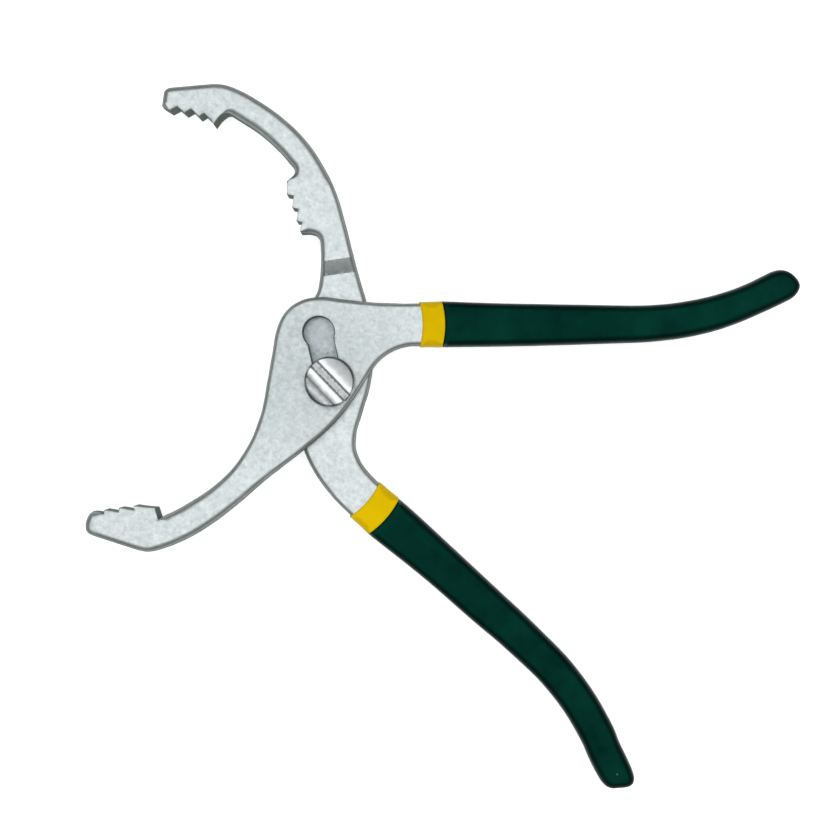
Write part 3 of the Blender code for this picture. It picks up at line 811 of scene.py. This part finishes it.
def spread(tree, source, low, high, to_low=0.0, to_high=1.0):
    """A field's range stretched to another one."""
    node = tree.nodes.new("ShaderNodeMapRange")
    node.inputs["From Min"].default_value = low
    node.inputs["From Max"].default_value = high
    node.inputs["To Min"].default_value = to_low
    node.inputs["To Max"].default_value = to_high
    tree.links.new(source, node.inputs["Value"])
    return node.outputs["Result"]


def reckoned(tree, operation, first, second):
    """Two fields added or multiplied."""
    node = tree.nodes.new("ShaderNodeMath")
    node.operation = operation
    tree.links.new(first, node.inputs[0])
    tree.links.new(second, node.inputs[1])
    return node.outputs["Value"]


def mixed(tree, factor, first, second):
    """One colour shading into another by a field."""
    node = tree.nodes.new("ShaderNodeMix")
    node.data_type = "RGBA"
    for socket, value in ((node.inputs[6], first), (node.inputs[7], second)):
        if isinstance(value, tuple):
            socket.default_value = (*value, 1.0)
        else:
            tree.links.new(value, socket)
    tree.links.new(factor, node.inputs[0])
    return node.outputs[2]


def darkened(tree, colour, factor, share):
    """A colour times (1 - share) where the factor is 1; a share below 0 brightens it."""
    node = tree.nodes.new("ShaderNodeMix")
    node.data_type = "RGBA"
    node.blend_type = "MULTIPLY"
    node.inputs[7].default_value = (1 - share, 1 - share * 0.95, 1 - share * 0.92, 1.0)
    tree.links.new(factor, node.inputs[0])
    tree.links.new(colour, node.inputs[6])
    return node.outputs[2]


def bumped(tree, shader, layers):
    """Several fields stacked into one bump: pairs of (field, height in mm)."""
    last = None
    for source, height in layers:
        bump = tree.nodes.new("ShaderNodeBump")
        bump.inputs["Strength"].default_value = 1.0
        bump.inputs["Distance"].default_value = height * MM
        tree.links.new(source, bump.inputs["Height"])
        if last:
            tree.links.new(last, bump.inputs["Normal"])
        last = bump.outputs["Normal"]
    tree.links.new(last, shader.inputs["Normal"])


def fading_patch(tree, middle, turn, radii):
    """A patch that fades out from a middle: 1 there, 0 past an ellipse of these radii, in mm."""
    place = tree.nodes.new("ShaderNodeTexCoord")
    moved = tree.nodes.new("ShaderNodeMapping")
    moved.vector_type = "TEXTURE"
    moved.inputs["Location"].default_value = (middle[0] * MM, middle[1] * MM, 0.0)
    moved.inputs["Rotation"].default_value = (0.0, 0.0, math.radians(turn))
    moved.inputs["Scale"].default_value = (radii[0] * MM, radii[1] * MM, 10.0)
    ball = tree.nodes.new("ShaderNodeTexGradient")
    ball.gradient_type = "SPHERICAL"
    tree.links.new(place.outputs["Object"], moved.inputs["Vector"])
    tree.links.new(moved.outputs["Vector"], ball.inputs["Vector"])
    return ball.outputs["Fac"]


def edge_shade_field(tree):
    """Mask for painted shade: 0 on the flats, 0.5 on the upper rounded edges, 1 on the walls."""
    edge = tree.nodes.new("ShaderNodeAttribute")
    edge.attribute_name = "edge_shade"
    return edge.outputs["Fac"]


def forged_steel(name, shade_and_highlight_patches, roughness=0.42):
    """Satin plated forging: mottled grain on the flats, painted shade on the rounded edges and walls, and
    patches of painted shade and painted highlight.
    """
    material, shader = new_material(name, STEEL_BRIGHT, roughness, 0.9)
    shader.inputs["Specular Tint"].default_value = (*DULL_RIM, 1.0)
    tree = material.node_tree
    patches = spread(tree, noise_field(tree, scale=130.0, detail=3.0, roughness=0.6), 0.35, 0.65)
    grain = spread(tree, noise_field(tree, scale=1000.0, detail=4.0, roughness=0.65), 0.3, 0.62)
    mottle = tuple(0.35 * dark + 0.65 * bright for dark, bright in zip(STEEL_DARK, STEEL_BRIGHT))
    colour = mixed(tree, grain, STEEL_DARK, mixed(tree, patches, mottle, STEEL_BRIGHT))
    pits = spread(tree, noise_field(tree, scale=700.0, detail=2.0), 0.70, 0.76)
    colour = darkened(tree, colour, pits, 0.3)
    # patches of painted shade, and a painted highlight where the share is below 0
    for middle, turn, radii, soft, share in shade_and_highlight_patches:
        colour = darkened(tree, colour, spread(tree, fading_patch(tree, middle, turn, radii), 0.0, soft), share)
    # painted shade on the rounded edges and walls, blotched by the patches noise
    edge_shade = edge_shade_field(tree)
    for tone, low, high in ((STEEL_EDGE_SHADE, 0.0, 0.5), (STEEL_WALL_SHADE, 0.5, 1.0)):
        blotched = mixed(tree, patches, tone, tuple(0.85 * value for value in tone))
        colour = mixed(tree, spread(tree, edge_shade, low, high), colour, blotched)
    tree.links.new(colour, shader.inputs["Base Color"])
    gloss = noise_field(tree, scale=600.0, detail=3.0)
    tree.links.new(spread(tree, gloss, 0.3, 0.7, roughness - 0.07, roughness + 0.09),
                   shader.inputs["Roughness"])
    bumped(tree, shader, [(noise_field(tree, scale=380.0, detail=2.0), 0.05),
                          (noise_field(tree, scale=1500.0, detail=3.0, roughness=0.6), 0.022)])
    return material


def bright_steel(name):
    """Nickel on the bolt: painted highlights beside the driver slot, painted shade on the dome, and grime
    spots in the slot.
    """
    material, shader = new_material(name, NICKEL, 0.28, 1.0)
    tree = material.node_tree
    turn = math.radians(-SLOT_TURN)
    place = tree.nodes.new("ShaderNodeTexCoord")
    turned = tree.nodes.new("ShaderNodeMapping")
    turned.inputs["Rotation"].default_value = (0.0, 0.0, turn)
    apart = tree.nodes.new("ShaderNodeSeparateXYZ")
    tree.links.new(place.outputs["Object"], turned.inputs["Vector"])
    tree.links.new(turned.outputs["Vector"], apart.inputs["Vector"])
    across = spread(tree, apart.outputs["Y"], -BOLT_R * MM, BOLT_R * MM)
    wobble = spread(tree, noise_field(tree, scale=260.0, detail=2.0), 0.2, 0.8, -0.03, 0.03)
    # painted highlights and painted shade across the head, by place across the slot
    ramp = tree.nodes.new("ShaderNodeValToRGB")
    ramp.color_ramp.interpolation = "B_SPLINE"
    stops = ramp.color_ramp.elements
    for index, (offset, tone) in enumerate(HEAD_LIGHT_AND_SHADE):
        stop = stops[index] if index < 2 else stops.new(1.0)
        stop.position = (offset / BOLT_R + 1) / 2
        stop.color = (tone, tone * 1.04, tone * 1.05, 1.0)
    tree.links.new(reckoned(tree, "ADD", across, wobble), ramp.inputs["Fac"])
    spots = spread(tree, noise_field(tree, scale=420.0, detail=2.0), 0.52, 0.66)
    middle = (SLOT_MIDDLE * math.sin(turn), SLOT_MIDDLE * math.cos(turn))
    slot = spread(tree, fading_patch(tree, middle, SLOT_TURN, SLOT_FILM), 0.0, 0.4)
    colour = darkened(tree, ramp.outputs["Color"], reckoned(tree, "MULTIPLY", spots, slot), 0.35)
    # painted shade on the head's rounded rim and its side
    tree.links.new(darkened(tree, colour, edge_shade_field(tree), 0.25), shader.inputs["Base Color"])
    tree.links.new(spread(tree, noise_field(tree, scale=500.0, detail=3.0), 0.3, 0.7, 0.2, 0.36),
                   shader.inputs["Roughness"])
    streaks = noise_field(tree, scale=700.0, detail=3.0, roughness=0.6,
                          stretch=(-SLOT_TURN, (0.12, 1.0, 1.0)))
    bumped(tree, shader, [(streaks, 0.006), (noise_field(tree, scale=320.0, detail=2.0), 0.03)])
    return material


def zinc_steel(name):
    """Zinc plate with a slight yellow and blue cast."""
    material, shader = new_material(name, ZINC, 0.32, 1.0)
    tree = material.node_tree
    cast = spread(tree, noise_field(tree, scale=220.0, detail=3.0, roughness=0.6), 0.35, 0.65)
    tree.links.new(mixed(tree, cast, ZINC_WARM, ZINC_COOL), shader.inputs["Base Color"])
    tree.links.new(spread(tree, noise_field(tree, scale=900.0, detail=3.0), 0.3, 0.7, 0.26, 0.4),
                   shader.inputs["Roughness"])
    bumped(tree, shader, [(noise_field(tree, scale=1200.0, detail=3.0), 0.01)])
    return material


def vinyl(name, light, deep, roughness, sheen, shadow, specks=None):
    """Dipped vinyl: soft gloss with orange peel, slow colour drift and a few specks of dust.

    Painted shade darkens the colour over the rounded edges, by the share shadow.
    """
    material, shader = new_material(name, light, roughness, 0.0)
    tree = material.node_tree
    shader.inputs["Specular IOR Level"].default_value = 0.14
    shader.inputs["Specular Tint"].default_value = (*sheen, 1.0)
    drift = spread(tree, noise_field(tree, scale=55.0, detail=3.0, roughness=0.55), 0.35, 0.65)
    colour = mixed(tree, drift, deep, light)
    # painted shade over the rounded edges
    colour = darkened(tree, colour, spread(tree, edge_shade_field(tree), 0.0, 0.5), shadow)
    if specks:
        dust = spread(tree, noise_field(tree, scale=420.0, detail=1.0, roughness=0.4), 0.8, 0.83)
        colour = mixed(tree, dust, colour, specks)
    tree.links.new(colour, shader.inputs["Base Color"])
    gloss = noise_field(tree, scale=260.0, detail=3.0)
    tree.links.new(spread(tree, gloss, 0.3, 0.7, roughness - 0.06, roughness + 0.08),
                   shader.inputs["Roughness"])
    bumped(tree, shader, [(noise_field(tree, scale=240.0, detail=2.0), 0.05),
                          (noise_field(tree, scale=1100.0, detail=2.0), 0.012)])
    return material


# ---------------------------------------------------------------- stage
def pale_floor():
    mesh = bpy.data.meshes.new("floor")
    corner_signs = ((-1, -1), (1, -1), (1, 1), (-1, 1))
    mesh.from_pydata([(x * FLOOR_HALF, y * FLOOR_HALF, 0.0) for x, y in corner_signs], [], [(0, 1, 2, 3)])
    item = place_object("floor", mesh)
    material, shader = new_material("floor_paint", (0.92, 0.92, 0.92), 0.9, 0.0)
    shader.inputs["Emission Color"].default_value = (1.0, 1.0, 1.0, 1.0)
    shader.inputs["Emission Strength"].default_value = 0.45
    shader.inputs["Specular IOR Level"].default_value = 0.1
    item.data.materials.append(material)


def area_light(name, place, aim, size, power):
    data = bpy.data.lights.new(name, "AREA")
    data.shape = "SQUARE"
    data.size = size
    data.energy = power
    item = bpy.data.objects.new(name, data)
    item.location = place
    item.rotation_euler = (Vector(aim) - Vector(place)).to_track_quat("-Z", "Y").to_euler()
    item.visible_camera = False
    bpy.context.scene.collection.objects.link(item)


def lights_and_camera():
    area_light("overhead", LIGHT_PLACE, LIGHT_AIM, size=1.8, power=20.0)
    world = bpy.data.worlds.new("studio")
    world.use_nodes = True
    world.node_tree.nodes["Background"].inputs["Color"].default_value = (0.95, 0.97, 1.0, 1.0)
    world.node_tree.nodes["Background"].inputs["Strength"].default_value = 0.4
    bpy.context.scene.world = world
    data = bpy.data.cameras.new("camera")
    data.angle = math.radians(CAMERA_ANGLE)
    data.clip_start = 0.01
    camera = bpy.data.objects.new("camera", data)
    camera.location = CAMERA_PLACE
    bpy.context.scene.collection.objects.link(camera)
    bpy.context.scene.camera = camera
    bpy.context.scene.view_settings.view_transform = "Standard"


# ---------------------------------------------------------------- assembly
def stand_for(item, node, body):
    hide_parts(node)
    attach(item, body)


def build():
    upper = forged_steel("front_steel_look", [HUB_SHADE])
    lower = forged_steel("rear_steel_look", [LAP_SHADE, RAMP_HIGHLIGHT])
    bright = bright_steel("bright_steel_look")
    zinc = zinc_steel("zinc_steel_look")
    yellow = vinyl("yellow_vinyl_look", YELLOW, DEEP_YELLOW, 0.42, YELLOW_SHEEN, shadow=0.16)
    green = vinyl("green_vinyl_look", GREEN, DEEP_GREEN, 0.4, GREEN_SHEEN, shadow=0.65, specks=DUST)

    front = arm("front_forging", "front_arm", mid_height("front_collar"), FRONT_HANDLE,
                FRONT_TEETH, FRONT_STEPS, upper, seed=1.0)
    rear = arm("rear_forging", "rear_arm", mid_height("rear_collar"), REAR_HANDLE,
               REAR_TEETH, REAR_STEPS, lower, seed=2.0)
    stand_for(front, "front_arm", "front")
    stand_for(rear, "rear_arm", "rear")
    for side, steel, handle, length in (("front", front, FRONT_HANDLE, FRONT_COLLAR),
                                        ("rear", rear, REAR_HANDLE, REAR_COLLAR)):
        seam = length - SEAM_SHIFT
        collar = sleeve(side + "_collar_sleeve", side + "_collar", steel, handle,
                        [(COLLAR_FROM, 1, COLLAR_EDGE), (seam, -1, BUTT_EDGE)], yellow, seed=3.0)
        grip = sleeve(side + "_grip_sleeve", side + "_grip", steel, handle,
                      [(seam, 1, LIP_EDGE)], green, seed=4.0)
        stand_for(collar, side + "_collar", side)
        stand_for(grip, side + "_grip", side)
    stand_for(bolt(bright), "pivot_bolt", "rear")
    stand_for(nut(zinc), "pivot_nut", "rear")
    stand_for(washer(zinc), "slide_washer", "slider")


pale_floor()
lights_and_camera()
build()
